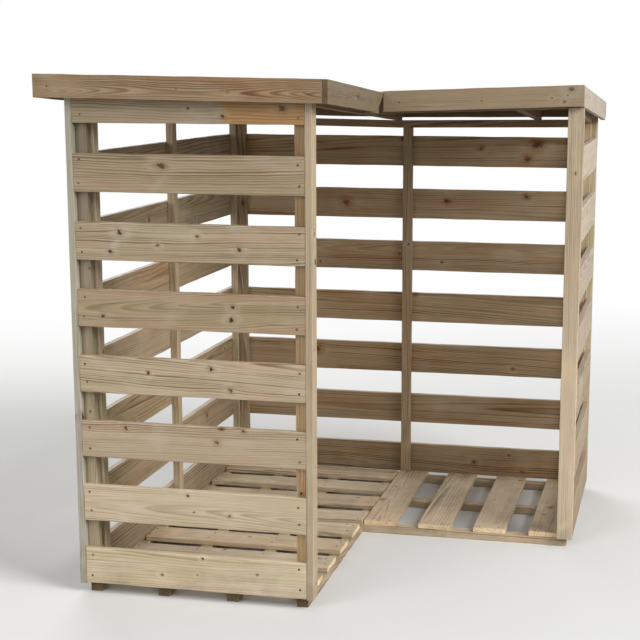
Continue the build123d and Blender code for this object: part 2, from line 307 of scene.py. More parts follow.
    shade = 1.0 + (streak - 0.5) * look["streak"] + (fibre - 0.5) * look["fibre"]
    shade = shade * (1.0 - fleck * look["fleck"]) * (1.0 - hair * look["hair"]) * (1.0 + light)
    shade = shade * (1.0 - crack * look["crack"])
    endShade = 1.0 - isEnd * (look["endDepth"] + (rough - 0.5) * look["endRough"])
    colour = g.mix(isEnd * look["endWarm"], colour, look["honey"], "MULTIPLY")
    worn = isEdge * (g.pattern("worn", spot) - look["wornLevel"]) * look["worn"]
    ground = g.node("ShaderNodeTexCoord", out="Object")
    height = g.parts(ground)[2]
    grime = (1.0 - height.step("grimeHeight")) * g.pattern("grime", ground).step("grime")
    shade = shade * endShade * (1.0 + worn) * (1.0 - grime * look["grime"])
    # painted light: the lower part is made brighter, as the light falls on it, fading out by 1.25 m up
    shade = shade * (1.0 + paintedFootLight * (1.0 - height.step("paintedFootLightHeight")))
    colour = colour.vector("SCALE", shade)

    masks = {"cloud": cloud - 0.5, "lateWood": lateWood, "sheen": sheen, "fibre": fibre, "rough": rough,
             "fleck": fleck, "inKnot": inKnot, "rim": rim, "crack": crack, "isEnd": isEnd}
    dull = weighted(look["dullShares"], masks, look["dull"])
    bump = g.bumped(look["bump"], look["relief"], weighted(look["reliefShares"], masks))
    sockets = {"Base Color": colour, "Roughness": dull, "Normal": bump, "Specular IOR Level": look["gloss"]}
    g.surface(g.node("ShaderNodeBsdfPrincipled", {}, sockets))
    return material


# boards, as meshes

meshing = {
    "grid": 2e4,  # corners are told apart to 1 part in this of a metre
    "arcSteps": 3, "sectionStep": 0.024, "stationStep": 0.022,
    "waves": (1.5, 9.0),  # per metre
    "mostEase": 0.3,  # of the board's depth
}


def edgeLengths(block):
    # how long a block of eight corners is along, across and deep, each the mean of its four edges that way
    ways = [block.take(1, axis=k) - block.take(0, axis=k) for k in range(3)]
    return [np.linalg.norm(way, axis=-1).mean() for way in ways]


def solidCorners(node):
    # a CAD node's mesh cut into its solids, each as its eight corners, indexed [along][across][deep]
    mesh = nodes[node].data
    spots = np.empty(len(mesh.vertices) * 3, np.float32)
    mesh.vertices.foreach_get("co", spots)
    spots = spots.reshape(-1, 3).astype(float)
    mesh.calc_loop_triangles()
    faces = np.empty(len(mesh.loop_triangles) * 3, np.int32)
    mesh.loop_triangles.foreach_get("vertices", faces)
    keys, same = np.unique(np.round(spots * meshing["grid"]).astype(int), axis=0, return_inverse=True)
    faces = same.reshape(-1)[faces].reshape(-1, 3)
    label = np.arange(len(keys))
    while True:  # each corner takes the lowest label it shares a face with, until nothing changes
        lowest = label[faces].min(axis=1)
        fresh = label.copy()
        for side in range(3):
            np.minimum.at(fresh, faces[:, side], lowest)
        if (fresh == label).all():
            break
        label = fresh
    signs = np.array([[[(x, y, z) for z in (-1, 1)] for y in (-1, 1)] for x in (-1, 1)]).reshape(8, 3)
    found = []
    for each in np.unique(label):
        points = keys[label == each] / meshing["grid"]
        main = np.ptp(points, axis=0).argmax()
        lean = np.polyfit(points[:, main], points, 1)[0]  # how far a board shifts sideways along its length
        lean[main] = 0
        level = points - np.outer(points[:, main], lean)
        low, high = level.min(axis=0), level.max(axis=0)
        unit = (level - (low + high) / 2) / (high - low)
        pick = (unit @ signs.T).argmax(axis=0)
        if len(set(pick.tolist())) != len(signs):
            print("corners not told apart in", node)
        block = points[pick].reshape(2, 2, 2, 3)
        order = np.argsort(edgeLengths(block))[::-1]
        found.append(block.transpose(*order, 3))
    return found


def blend(block, a, b, c):
    # a point of the block by its shares along, across and deep, straight between the eight corners
    a, b, c = (np.asarray(k)[..., None] for k in (a, b, c))
    near, far = (
        (end[0, 0] * (1 - b) + end[1, 0] * b) * (1 - c) + (end[0, 1] * (1 - b) + end[1, 1] * b) * c
        for end in block
    )
    return near * (1 - a) + far * a


def roundedSection(width, depth, ease):
    # a rectangle with quarter-round corners, taken anticlockwise: each corner is centre + ease * (cos t, sin t)
    across, deep, outAcross, outDeep, edge = [], [], [], [], []
    half = np.array([width / 2 - ease, depth / 2 - ease])
    centres = half * np.array([[1, 1], [-1, 1], [-1, -1], [1, -1]])
    arcPoints = meshing["arcSteps"] + 1
    for corner in range(4):
        turn = np.radians(corner * 90 + np.linspace(0, 90, arcPoints))
        across.append(centres[corner, 0] + ease * np.cos(turn))
        deep.append(centres[corner, 1] + ease * np.sin(turn))
        outAcross.append(np.cos(turn))
        outDeep.append(np.sin(turn))
        edge.append(np.sin(np.linspace(0, math.pi, arcPoints)))
        run = width if corner % 2 == 0 else depth
        share = np.linspace(0, 1, max(1, round(run / meshing["sectionStep"])) + 1)[1:-1]
        last = np.radians(corner * 90 + 90)
        out = np.array([np.cos(last), np.sin(last)])
        start = centres[corner] + ease * out
        stop = centres[(corner + 1) % 4] + ease * out
        across.append(start[0] + (stop[0] - start[0]) * share)
        deep.append(start[1] + (stop[1] - start[1]) * share)
        outAcross.append(np.full(len(share), out[0]))
        outDeep.append(np.full(len(share), out[1]))
        edge.append(np.zeros(len(share)))
    return [np.concatenate(k) for k in (across, deep, outAcross, outDeep, edge)]


def waves(share, length, size, rng):
    # a slow uneven line along a board: three sines of random pitch and phase, added up
    pitch = rng.uniform(*meshing["waves"], 3) * length
    phase = rng.uniform(0, 2 * math.pi, 3)
    return size * np.sin(share[:, None] * pitch * 2 * math.pi + phase).mean(axis=1)


def boardMesh(block, look, rng):
    # a board: the rounded section carried along the stations, drawn in a little at both ends, and closed by a fan
    length, width, depth = edgeLengths(block)
    ease = min(look["ease"], depth * meshing["mostEase"])
    across, deep, outAcross, outDeep, edge = roundedSection(width, depth, ease)
    endEase = look["endEase"]
    count = max(2, round(length / meshing["stationStep"]))
    inner = np.linspace(endEase / length, 1 - endEase / length, count)
    share = np.concatenate([[0.0], inner, [1.0]])
    stations, ring = len(share), len(across)
    pull = np.ones(stations)
    pull[[0, -1]] = 0.0
    tight = np.stack([1 - 2 * endEase / width * (1 - pull), 1 - 2 * endEase / depth * (1 - pull)])
    y = across[None, :] * tight[0][:, None]
    z = deep[None, :] * tight[1][:, None]
    upper, lower = waves(share, length, look["uneven"], rng), waves(share, length, look["uneven"], rng)
    y = y + np.where(across[None, :] > 0, upper[:, None], lower[:, None]) * np.abs(across[None, :]) / width * 2
    a = np.repeat(share[:, None], ring, axis=1)
    b, c = 0.5 + y / width, 0.5 + z / depth
    spots = blend(block, a, b, c)
    alongAxis = blend(block, np.ones_like(a), b, c) - blend(block, np.zeros_like(a), b, c)
    acrossAxis = blend(block, a, np.ones_like(a), c) - blend(block, a, np.zeros_like(a), c)
    deepAxis = blend(block, a, b, np.ones_like(a)) - blend(block, a, b, np.zeros_like(a))
    hand = np.sign((alongAxis * np.cross(acrossAxis, deepAxis)).sum(axis=-1, keepdims=True))
    normals = (outAcross[None, :, None] * width * np.cross(deepAxis, alongAxis)
               + outDeep[None, :, None] * depth * np.cross(alongAxis, acrossAxis)) * hand
    ends = np.cross(acrossAxis, deepAxis) * hand
    normals[0], normals[-1] = -ends[0], ends[-1]
    half = np.array([0.5, 0.5])
    poles = blend(block, np.array([0.0, 1.0]), half, half)
    poleNormals = np.stack([-ends[0].mean(axis=0), ends[-1].mean(axis=0)])
    spots = np.concatenate([spots.reshape(-1, 3), poles])
    normals = np.concatenate([normals.reshape(-1, 3), poleNormals])
    normals /= np.linalg.norm(normals, axis=1, keepdims=True)
    local = np.stack([(a - 0.5) * length, y, z], axis=-1).reshape(-1, 3)
    local = np.concatenate([local, [[-length / 2, 0, 0], [length / 2, 0, 0]]])
    isEnd = np.concatenate([np.repeat(1 - pull, ring), [1.0, 1.0]])
    isEdge = np.concatenate([np.tile(edge, stations), [0.0, 0.0]])
    grid = np.arange(stations * ring).reshape(stations, ring)
    turned = np.roll(grid, -1, axis=1)
    quads = np.stack([grid[:-1], turned[:-1], turned[1:], grid[1:]], axis=-1).reshape(-1, 4)
    first = np.stack([np.full(ring, stations * ring), turned[0], grid[0]], axis=-1)
    last = np.stack([np.full(ring, stations * ring + 1), grid[-1], turned[-1]], axis=-1)
    fans = np.concatenate([first, last])
    if hand.flat[0] < 0:
        quads, fans = quads[:, ::-1], fans[:, ::-1]
    fields = {"grainPlace": local, "grainEnd": isEnd, "grainEdge": isEdge}
    return spots, normals, quads, fans, fields, (length, width)


farAway = 9.0  # metres along the board, where a patch, a check, a flare or a knot that a board hasn't got is put
noKnot = (farAway, farAway, 0.001)


def boardGrain(look, size, rng, given):
    # what makes one board differ from the next: its pith line, rings, tone, checks and knots; given values win
    length, width = size
    side = rng.choice([-1, 1], 3)
    grain = {
        "pith": [side[0] * rng.uniform(*look["pithAcross"]), side[1] * rng.uniform(*look["pithDeep"]),
                 rng.uniform(*look["drift"])],
        "rings": [rng.uniform(*look["rings"]), rng.uniform(*look["ringForce"]),
                  side[2] * rng.uniform(*look["taper"])],
        "tone": [rng.uniform(*look["light"]), rng.uniform(*look["warm"]), rng.uniform(*look["greenness"])],
        "patch": [farAway, rng.uniform(*look["slant"]), 0.0],
        "check": [rng.uniform(*look["checkAlong"]) * length, rng.uniform(*look["checkReach"]),
                  rng.uniform(*look["checkAcross"]) * width],
        "bend": [0.0, 0.0, 0.0],
        "flare": [farAway, 0.0, 0.0],
    }
    if rng.random() > look["checkedShare"]:
        grain["check"] = [farAway, 0.01, 0.0]
    knots = np.tile(noKnot, (knotCount, 1))
    drawn = min(knotCount, rng.poisson(look["knotsPerMetre"] * length))
    spots = rng.uniform(*look["knotPlace"], (knotCount, 2)) * [length, width]
    least, most = look["knotSize"]
    sizes = least + (most - least) * rng.random(knotCount) ** 2
    knots[:drawn] = np.column_stack([spots, sizes])[:drawn]
    for key, value in (given or {}).items():
        if key == "knots":
            knots = np.tile(noKnot, (knotCount, 1))
            knots[: len(value)] = np.array(value) / 1000
        else:
            grain[key] = value
    fields = {"grain" + key.capitalize(): value for key, value in grain.items()}
    fields.update({f"knot{number}": knots[number] for number in range(knotCount)})
    fields["grainSeed"] = rng.uniform(*look["seed"], 3)
    return fields


def addField(mesh, name, values):
    # one value for each point, a number or a vector
    isVector = values.ndim == 2
    field = mesh.attributes.new(name, "FLOAT_VECTOR" if isVector else "FLOAT", "POINT")
    field.data.foreach_set("vector" if isVector else "value", values.astype(np.float32).ravel())


def newObject(name, spots, faces, normals=None, fields=None):
    # a smooth object out of whole arrays, with normals and point values of its own where they are given
    mesh = bpy.data.meshes.new(name)
    mesh.from_pydata(spots.tolist(), [], faces)
    for key, values in (fields or {}).items():
        addField(mesh, key, np.asarray(values, float))
    mesh.polygons.foreach_set("use_smooth", np.ones(len(mesh.polygons), bool))
    if normals is not None:
        mesh.normals_split_custom_set_from_vertices(normals.tolist())
    mesh.update()
    made = bpy.data.objects.new(name, mesh)
    scene.collection.objects.link(made)
    return made


def ownRandom(name):
    # each piece's name seeds its own random numbers, so a change to one piece leaves the others alone
    return np.random.default_rng(zlib.crc32(name.encode()))


def dress(node, look, material, given=None):
    # the boards of one CAD node, made again with eased edges and grain, as one piece that stands for it; given
    # holds set values for some of its boards, counted from the bottom up
    rng = ownRandom(node)
    spots, normals, faces, fields, start = [], [], [], {}, 0
    blocks = solidCorners(node)
    blocks.sort(key=lambda block: tuple(np.round(block.mean(axis=(0, 1, 2))[[2, 1, 0]], 3)))
    for number, block in enumerate(blocks):
        points, outs, quads, fans, own, size = boardMesh(block, look, rng)
        grain = boardGrain(look, size, rng, (given or {}).get(number))
        own.update({key: np.tile(np.asarray(value, float), (len(points), 1)) for key, value in grain.items()})
        spots.append(points)
        normals.append(outs)
        faces += (quads + start).tolist() + (fans + start).tolist()
        for key, values in own.items():
            fields.setdefault(key, []).append(values)
        start += len(points)
    fields = {key: np.concatenate(values) for key, values in fields.items()}
    piece = newObject(node + "Piece", np.concatenate(spots), faces, np.concatenate(normals), fields)
    piece.data.materials.append(material)
    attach(piece, "root")
    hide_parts(node)


common = {
    "pale": seen(207, 189, 163), "late": seen(138, 112, 79), "cream": seen(220, 208, 187),
    "green": seen(228, 234, 210), "peach": seen(248, 230, 212), "honey": seen(240, 216, 176),
    "amber": seen(272, 222, 146),  # over 255, so that it also brightens the red
    "haloColour": seen(214, 194, 160), "knot": seen(142, 102, 62), "darkKnot": seen(62, 38, 18),
    "light": (-0.12, 0.04), "warm": (0.0, 0.30), "greenness": (0.2, 0.8),
    # knots, and the pale flares and dark halos round them
    "knotForce": 1.0, "knotFlow": 0.34, "knotWarpAcross": 2.2, "knotWarpAlong": 2.8, "knotStretch": 0.86,
    "knotLean": 0.35, "knotRings": 4.0, "knotRingForce": 0.45, "coreForce": 0.8, "rimForce": 0.50, "frayed": 0.45,
    "knotsPerMetre": 2.2, "knotSize": (0.0020, 0.0075), "knotPlace": (-0.46, 0.46),
    "halo": 0.55, "flare": 0.5, "flareReach": 0.034, "flareLean": 0.8, "flareSquash": 5.0,
    # year rings
    "wander": 0.034, "waver": 0.0040, "pinch": 1.0, "jumpPitch": 0.31, "jumpSize": 2.2,
    "seed": (-40, 40),  # metres: each board's place in the noise
    "pithAcross": (0.0, 0.09), "pithDeep": (0.015, 0.06), "drift": (-0.04, 0.04), "slant": (-0.6, 0.6),
    "rings": (0.0032, 0.0060), "ringForce": (0.6, 1.15), "taper": (0.0, 0.04),
    # checks along the grain, and rays and depth in the end grain
    "checkedShare": 0.25, "checkAlong": (-0.5, 0.5), "checkReach": (0.02, 0.09), "checkAcross": (-0.45, 0.45),
    "crack": 0.6, "crackWidth": 0.0007, "crackFray": 0.0012, "crackShown": 4000.0, "tiny": 0.00001,
    "raysRound": 26.0, "raysOut": 30.0, "raysForce": 0.8, "endDepth": 0.18, "endWarm": 0.5, "endRough": 0.4,
    # how much the small patterns and the wear show
    "streak": 0.32, "fibre": 0.22, "hair": 0.24, "fleck": 0.15, "sheen": 0.35, "grime": 0.22,
    "worn": 0.5, "wornLevel": 0.42,
    "ease": 0.0022, "endEase": 0.0009, "uneven": 0.0006, "bump": 0.75, "relief": 0.0007, "gloss": 0.28,
    "reliefShares": {"lateWood": 0.4, "fibre": 0.45, "rough": 0.15, "inKnot": 0.5, "rim": -0.7, "fleck": -0.3,
                     "crack": -1.4},
    "dull": 0.58, "dullShares": {"cloud": 0.22, "lateWood": -0.06, "sheen": -0.06, "isEnd": 0.2, "inKnot": -0.14},
}

slats = {**common, "slot": "slat_wood"}
slatWood = woodMaterial("slatWood", slats)

# the eight front slats, from the bottom up, their tones darker toward the top, partly real board differences and
# partly painted shade; knots are along, up and size in mm from the slat's middle
frontSlats = {
    0: {"pith": (0.060, -0.050, 0.02), "rings": (0.0046, 0.55, 0.02), "tone": (0.14, -0.22, 0.5),
        "patch": (farAway, 0.2, 0), "knots": [(22, 39.4, 2.4), (-88, -10.8, 2.8), (6, -4.5, 1.9), (166, 7.9, 2.2)]},
    1: {"pith": (-0.006, -0.032, -0.02), "rings": (0.0048, 0.55, 0.04), "tone": (0.03, -0.20, 0.4),
        "patch": (farAway, -0.3, 0), "knots": [(-14, 34.6, 2.7), (1, -7.8, 1.9), (96, -10.5, 3.2)]},
    2: {"pith": (0.085, -0.030, 0.02), "rings": (0.0047, 1.15, 0.02), "tone": (-0.18, 0.08, 0.3),
        "patch": (farAway, 0.5, 0),
        "knots": [(-175, 33.7, 4.0), (77, 44.0, 3.0), (134, 42.0, 3.0), (65, 9.3, 4.0)]},
    3: {"pith": (0.050, -0.036, -0.02), "rings": (0.0042, 1.0, 0.03), "tone": (-0.15, 0.08, 0.4),
        "patch": (farAway, 0.5, 0), "knots": [(-112, 9.9, 3.0), (53, 27.7, 4.2), (103, -25.7, 4.0)]},
    4: {"pith": (0.012, -0.020, 0.05), "rings": (0.0046, 0.8, 0.05), "tone": (-0.31, 0.34, 0.6),
        "patch": (farAway, -0.4, 0), "check": (-245, 0.13, 0.001),
        "knots": [(111, 15.5, 3.8), (108, -16.0, 4.8), (-228, -18.7, 3.5)]},
    5: {"pith": (-0.100, -0.040, 0.01), "rings": (0.0045, 1.1, 0.01), "tone": (-0.27, 0.12, 0.5),
        "patch": (farAway, 0.6, 0), "flare": (-0.190, -0.006, 0.9),
        "knots": [(-178, 23.0, 5.0), (-80, -5.1, 3.0), (23, 18.6, 3.4), (130, -10.4, 4.4), (-203, -24.9, 3.5)]},
    6: {"pith": (-0.110, -0.030, 0.01), "rings": (0.0060, 1.35, 0.01), "tone": (-0.37, 0.28, 0.5),
        "patch": (farAway, 0.6, 0), "flare": (-0.072, -0.020, 0.45), "knots": [(-66, 19.4, 6.6)]},
    7: {"pith": (-0.080, -0.030, 0.00), "rings": (0.0052, 0.8, 0.0), "tone": (-0.38, 0.15, 0.55),
        "patch": (0.083, 0.5, 0.72), "knots": [(6, -7.3, 2.6), (93, -25.6, 3.8), (241, -5.5, 6.0)]},
}
backSlats = {  # the second and third from the top, whose inner faces show through the opening; their low light is painted shade under the roof
    6: {"pith": (0.05, 0.04, 0.01), "rings": (0.0055, 0.9, 0.02), "tone": (-0.34, 0.6, 0.0),
        "patch": (farAway, -0.3, 0), "knots": [(429, 24, 10.0), (399, -20, 7.5), (252, 12.5, 5.0), (0, 40.0, 5.0)]},
    5: {"pith": (-0.06, 0.05, 0.01), "rings": (0.0050, 0.9, 0.02), "tone": (-0.30, 0.5, 0.1),
        "patch": (farAway, 0.4, 0), "knots": [(-187, 0, 8.0), (142, 10, 5.0), (398, 30, 5.0)]},
}
dress("left_end_slats", slats, slatWood, frontSlats)
# the side slats' low light is painted shade inside the store
dress("left_side_slats", {**slats, "light": (-0.46, -0.34), "warm": (0.2, 0.5)}, slatWood)
# painted shade: the back slats made darker and warmer, as the shade under the roof
backLook = {**slats, "light": (-0.36, -0.24), "warm": (0.4, 0.7), "greenness": (0.0, 0.3), "halo": 0.9,
            "knot": seen(156, 104, 60), "darkKnot": seen(92, 58, 32), "haloColour": seen(226, 190, 148)}
dress("back_slats", backLook, woodMaterial("backWood", backLook), backSlats)
outerSlats = {**slats, "pale": seen(204, 190, 172), "late": seen(150, 129, 100), "greenness": (0.0, 0.4),
              "ringForce": (0.4, 0.8), "wander": 0.012}
outerWood = woodMaterial("outerWood", outerSlats)
endTones = {  # from the bottom slat, in shade and warm, to the top one, bright and cool
    number: {"tone": (-0.30 + number * 0.032, 0.50 - number * 0.12, 0.2)} for number in range(7)
}
dress("right_end_slats", outerSlats, outerWood, endTones)
print("slats dressed")

timbers = {**common, "slot": "frame_wood", "ease": 0.0016, "rings": (0.0030, 0.0048), "greenness": (0.5, 1.0),
           "knotsPerMetre": 1.2, "knotSize": (0.002, 0.006), "light": (-0.22, -0.08)}
timberWood = woodMaterial("timberWood", timbers)
feet = {**timbers, "endDepth": 0.62}  # the left bearers, whose ends are painted darker, as the shade that falls on them
feetWood = woodMaterial("feetWood", feet)
timberNodes = [
    "left_end_upright_left", "left_end_upright_right", "left_side_upright_front", "left_side_upright_middle",
    "left_side_upright_back", "back_upright_left", "back_upright_middle", "back_upright_right",
    "right_end_upright_front", "right_end_upright_back", "left_floor_bearer_1", "left_floor_bearer_2",
    "left_floor_bearer_3", "left_floor_bearer_4", "right_floor_bearer_1", "right_floor_bearer_2",
    "right_floor_bearer_3", "left_rafter", "middle_rafter", "extra_rafter", "right_rafter", "back_plate_left",
    "back_plate_right", "front_header", "corner_block",
]
timberTones = {  # light, warm and green of the timbers that the picture shows, the low light of those behind the slats and under the roof being painted shade, then how much brighter the foot is, painted light
    "left_end_upright_left": (-0.63, -0.05, 0.7, 1.15), "left_end_upright_right": (-0.34, 0.75, 0.1, 0.65),
    "back_upright_left": (-0.50, 0.4, 0.2, 0.3), "back_upright_middle": (-0.40, 0.4, 0.3, 0.3),
    "back_upright_right": (-0.40, 0.3, 0.3, 0.3), "back_plate_left": (-0.50, 0.6, 0.0, 0.0),
    "back_plate_right": (-0.50, 0.6, 0.0, 0.0), "left_rafter": (-0.55, 0.6, 0.0, 0.0),
    "middle_rafter": (-0.55, 0.6, 0.0, 0.0), "extra_rafter": (-0.55, 0.6, 0.0, 0.0),
    "right_rafter": (-0.4, 0.6, 0.2, 0.0), "front_header": (-0.60, 0.6, 0.0, 0.0),
    "corner_block": (-0.55, 0.6, 0.0, 0.0), "right_floor_bearer_1": (0.02, 0.16, 0.2, 0.0),
    "right_floor_bearer_2": (-0.10, 0.2, 0.3, 0.0), "right_floor_bearer_3": (-0.10, 0.2, 0.3, 0.0),
}
for node in timberNodes:
    given = {}
    if node in timberTones:
        *tone, paintedFootLight = timberTones[node]
        given = {"tone": tone, "bend": (0, 0, paintedFootLight)}
    if node.startswith("left_end_upright"):
        given["pith"] = (0.05, -0.03, 0.0)
    isFoot = node.startswith("left_floor_bearer")
    dress(node, feet if isFoot else timbers, feetWood if isFoot else timberWood, {0: given})
print("uprights, bearers and rafters dressed")

battens = {**common, "slot": "batten_wood", "ease": 0.0018, "rings": (0.0028, 0.0042), "greenness": (0.3, 0.7),
           "knotsPerMetre": 1.2, "knotSize": (0.002, 0.006), "light": (-0.04, 0.03), "streak": 0.42}
battenWood = woodMaterial("battenWood", battens)
cornerBatten = {**battens, "pale": seen(200, 192, 178), "late": seen(152, 140, 118), "cream": seen(214, 208, 196)}
goldBatten = {**battens, "cream": seen(224, 200, 156), "flare": 0.5}
battenLooks = {"left_corner_batten": (cornerBatten, woodMaterial("cornerWood", cornerBatten)),
               "right_opening_batten": (goldBatten, woodMaterial("goldWood", goldBatten))}
battenTones = {  # light, warm and green, then how much brighter the foot is, painted light
    "left_corner_batten": (-0.26, -0.25, 0.5, 0.12), "left_opening_batten": (-0.22, 0.10, 0.3, 0.05),
    "right_opening_batten": (-0.25, 0.0, 0.05, 0.42), "right_corner_batten": (-0.2, -0.1, 0.8, 0.1),
}
battenFlare = (-0.565, 0.0, 0.8)  # at the foot
for node, (*tone, paintedFootLight) in battenTones.items():
    look, wood = battenLooks.get(node, (battens, battenWood))
    dress(node, look, wood, {0: {"tone": tone, "bend": (0, 0, paintedFootLight), "flare": battenFlare}})
print("cover battens dressed")

floorBoards = {**common, "slot": "floor_wood", "endDepth": -0.62, "endWarm": 0.2, "light": (-0.02, 0.10),
               "greenness": (0.1, 0.5)}
floorWood = woodMaterial("floorWood", floorBoards)
for node in ("left_floor_boards", "right_floor_boards"):
    dress(node, floorBoards, floorWood)

roofBoards = {**common, "slot": "roof_wood", "greenness": (0.3, 0.8), "light": (-0.08, 0.04)}
roofWood = woodMaterial("roofWood", roofBoards)
roofNodes = ["left_wing_roof_boards", "back_corner_roof_boards", "right_wing_roof_boards"]
for node in roofNodes:
    dress(node, roofBoards, roofWood)
print("floor and roof boards dressed")

fascias = {**common, "slot": "fascia_wood", "pinch": 1.5, "knotForce": 0.65, "ease": 0.0012,
           "light": (-0.50, -0.42), "warm": (0.3, 0.6), "rings": (0.0034, 0.0046), "ringForce": (0.55, 0.85),
           "taper": (0.02, 0.045), "pithAcross": (0.0, 0.03), "pithDeep": (0.02, 0.04)}
fasciaWood = woodMaterial("fasciaWood", fascias)
paleFascia = {**outerSlats, "slot": "fascia_wood"}
fasciaGrain = {  # the long V marks, knots and tones that the picture shows on the fascias
    "left_wing_front_fascia": {"tone": (-0.46, 0.70, 0.0), "pith": (-0.0085, -0.034, 0.0),
                               "rings": (0.0036, 1.9, 0.0), "bend": (0.025, 0.16, 0), "knots": [(133, -6, 2.0)]},
    "left_wing_inner_fascia": {"tone": (-0.70, 0.45, 0.1), "rings": (0.0036, 0.6, 0.03),
                               "knots": [(24, 4, 6.0), (90, 0, 2.2)]},
    "right_wing_front_fascia": {"tone": (-0.49, 0.42, 0.2), "pith": (0.09, -0.03, 0.02),
                                "rings": (0.0050, 0.55, 0.02),
                                "knots": [(240, 19, 5.6), (188, -4, 2.0), (222, -14, 2.4)]},
    "right_end_fascia": {"tone": (-0.28, -0.25, 0.0), "pith": (0.09, -0.02, 0.0), "rings": (0.0045, 0.4, 0.0),
                         "check": (farAway, 0.01, 0)},
    "left_side_fascia": {},
    # painted shade: the back fascias made darker, as the shade under the roof
    "back_fascia_left": {"tone": (-0.55, 0.5, 0.1)},
    "back_fascia_right": {"tone": (-0.55, 0.5, 0.1)},
}
for node, grain in fasciaGrain.items():
    isPale = node == "right_end_fascia"
    dress(node, paleFascia if isPale else fascias, outerWood if isPale else fasciaWood, {0: grain})
print("fascias dressed")

# nails

nails = {
    "radius": 0.0021, "dome": 0.0004, "segments": 9, "lean": 0.05,
    "reach": (0.62, 0.93, 1.0, 1.0, 1.5, 1.5),  # in radii: the rings of a head, then the wood round it, painted dark as the shade of the dent
    "rise": (0.85, 0.45, 0.15, 0.03, 0.03, -1.5),  # in domes: how high each ring stands
    "metal": (1, 1, 1, 0, 0, 0),  # the rings that lean with the head and shine
    "upright": 0.9,  # a way that rises more than this is turned round from x instead of z
    "jitter": 0.005, "sideways": 0.07, "row": (0.40, 0.60),  # metres along, then shares of the board's width
    "inset": 0.042,  # metres from the first and last nail of a row to the board's ends
    "touch": 0.004, "leastOverlap": 0.008,  # metres that a board may stay off its support, and has to cross it
    "fasciaGap": 0.32, "battenGap": 0.36, "slatPair": 0.56, "boardPair": 0.5,
    "bump": 0.4, "relief": 0.0003, "speckle": 900.0, "lots": 31.0,  # the last two repeat so often in a metre
    "zinc": (seen(62, 54, 46), seen(120, 112, 100)), "warmSpeck": seen(104, 82, 60), "paintedDentShade": seen(92, 72, 52),
    "speckForce": 0.5, "metallic": 0.75, "dull": 0.75, "dullShares": {"isMetal": -0.3, "speckle": 0.1},
}


def nailMaterial():
    # zinc of two greys with warm specks, and wood painted darker where the metal ends, as the shade of the dent
    # round the head
    material = bpy.data.materials.new("nailMetal")
    g = Graph(material)
    place = g.node("ShaderNodeTexCoord", out="Object")
    isMetal = g.read("nailMetal", "Fac").step("metal")
    speckle = g.noise(place, nails["speckle"], 2.0)
    lot = g.noise(place, nails["lots"], 1.0).step("nailLot")
    zinc = g.mix(lot, *nails["zinc"])
    zinc = g.mix(speckle.step("speckle") * nails["speckForce"], zinc, nails["warmSpeck"])
    colour = g.mix(isMetal, nails["paintedDentShade"], zinc)
    dull = weighted(nails["dullShares"], {"isMetal": isMetal, "speckle": speckle}, nails["dull"])
    bump = g.bumped(nails["bump"], nails["relief"], speckle)
    sockets = {"Base Color": colour, "Metallic": isMetal * nails["metallic"], "Roughness": dull, "Normal": bump}
    g.surface(g.node("ShaderNodeBsdfPrincipled", {}, sockets))
    return material


nailMetal = nailMaterial()


def nailHeads(name, spots, outs, rng):
    # domed heads, all in one mesh: each is a curve of radius and height turned round the way it was driven
    dome = nails["dome"]
    reach = np.array(nails["reach"]) * nails["radius"]
    rise = np.array(nails["rise"]) * dome
    turn = np.linspace(0, 2 * math.pi, nails["segments"], endpoint=False)[None, None, :, None]
    count, rows, ring = len(spots), len(reach), nails["segments"]
    helper = np.where(np.abs(outs[:, 2:3]) > nails["upright"], [[1.0, 0.0, 0.0]], [[0.0, 0.0, 1.0]])
    side = np.cross(helper, outs)
    side /= np.linalg.norm(side, axis=1, keepdims=True)
    other = np.cross(outs, side)
    lean = rng.normal(0, nails["lean"], (count, 2))
    face = outs + side * lean[:, :1] + other * lean[:, 1:]
    face /= np.linalg.norm(face, axis=1, keepdims=True)
    level = np.array(nails["metal"])[None, :, None, None]
    way = face[:, None, None, :] * level + outs[:, None, None, :] * (1 - level)
    around = side[:, None, None, :] * np.cos(turn) + other[:, None, None, :] * np.sin(turn)
    body = spots[:, None, None, :] + around * reach[None, :, None, None] + way * rise[None, :, None, None]
    top = spots + face * dome
    foot = spots + outs * dome * nails["rise"][-1]
    points = np.concatenate([body.reshape(-1, 3), top, foot])
    grid = np.arange(count * rows * ring).reshape(count, rows, ring)
    turned = np.roll(grid, -1, axis=2)
    quads = np.stack([grid[:, :-1], grid[:, 1:], turned[:, 1:], turned[:, :-1]], axis=-1).reshape(-1, 4)
    tops = np.broadcast_to(np.arange(count)[:, None] + count * rows * ring, (count, ring))
    caps = np.stack([tops, grid[:, 0], turned[:, 0]], axis=-1).reshape(-1, 3)
    bases = np.stack([tops + count, turned[:, -1], grid[:, -1]], axis=-1).reshape(-1, 3)
    metal = np.tile(np.repeat(nails["metal"], ring), count)
    metal = np.concatenate([metal, np.ones(count), np.zeros(count)])
    made = newObject(name, points, quads.tolist() + caps.tolist() + bases.tolist(), None, {"nailMetal": metal})
    made.data.materials.append(nailMetal)
    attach(made, "root")
    print(name, count, "nails")


def endToEnd(block):
    # the vector from the middle of a board's first end to the middle of its last
    return block[1].mean(axis=(0, 1)) - block[0].mean(axis=(0, 1))


def faceAway(block, centre):
    # which face of a board looks away from a place, as its share of the depth, and the way that it looks
    deep = block[:, :, 1].mean(axis=(0, 1)) - block[:, :, 0].mean(axis=(0, 1))
    face = 1.0 if (block.mean(axis=(0, 1, 2)) - centre) @ deep > 0 else 0.0
    return face, deep / np.linalg.norm(deep) * (2 * face - 1)


